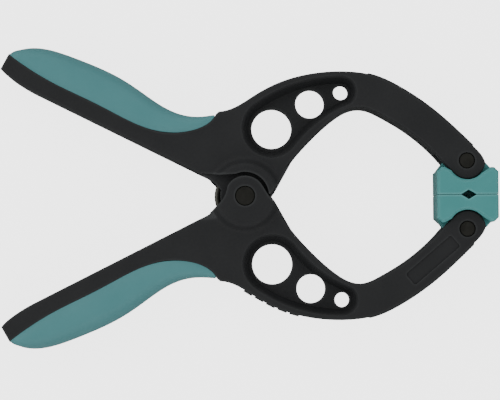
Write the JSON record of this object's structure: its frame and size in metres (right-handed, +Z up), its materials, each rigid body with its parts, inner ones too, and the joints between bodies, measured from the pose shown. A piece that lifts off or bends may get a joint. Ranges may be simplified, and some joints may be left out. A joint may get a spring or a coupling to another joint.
{
  "type": "spring clamp",
  "caption": "Hand-squeezed spring clamp with curved jaws, soft-skinned handles, a coil spring at the pivot and swivelling grooved jaw pads.",
  "frame": {"origin": "centre of the clamp's outline in plan, on the plane it lies on", "axes": "+X along the clamp from the handles to the jaws, +Y towards the upper arm, +Z up through the thickness"},
  "size_m": [0.1978, 0.1208, 0.0264],
  "materials": {
    "arm_nylon": "fine textured matte",
    "grip_rubber": "soft satin",
    "pad_plastic": "smooth satin",
    "pin_steel": "blackened",
    "spring_steel": "blackened wire"
  },
  "bodies": {
    "lower": {"lower_arm": "arm_nylon", "lower_grip": "grip_rubber", "pivot_pin": "pin_steel", "torsion_spring": "spring_steel", "lower_pad_pin": "pin_steel"},
    "upper": {"upper_arm": "arm_nylon", "upper_grip": "grip_rubber", "upper_pad_pin": "pin_steel"},
    "lower_jaw_pad": {"lower_pad": "pad_plastic"},
    "upper_jaw_pad": {"upper_pad": "pad_plastic"}
  },
  "joints": [
    {"name": "arm_pivot", "type": "hinge", "parent": "lower", "child": "upper", "pos_m": [-0.00175, 0, 0.0132], "axis": [0, 0, 1], "range_deg": [0, 50], "stiffness_Nm_per_rad": 1.34, "springref_deg": -60.16, "deforming": ["torsion_spring"]},
    {"name": "upper_pad_swivel", "type": "hinge", "parent": "upper", "child": "upper_jaw_pad", "pos_m": [0.08665, 0.0136, 0.0132], "axis": [0, 0, 1], "range_deg": [-25, 0]},
    {"name": "lower_pad_swivel", "type": "hinge", "parent": "lower", "child": "lower_jaw_pad", "pos_m": [0.08665, -0.0136, 0.0132], "axis": [0, 0, 1], "range_deg": [0, 25]}
  ],
  "couplings": [
    {"joint": "upper_pad_swivel", "follows": "arm_pivot", "ratio": -0.5},
    {"joint": "lower_pad_swivel", "follows": "arm_pivot", "ratio": 0.5}
  ]
}
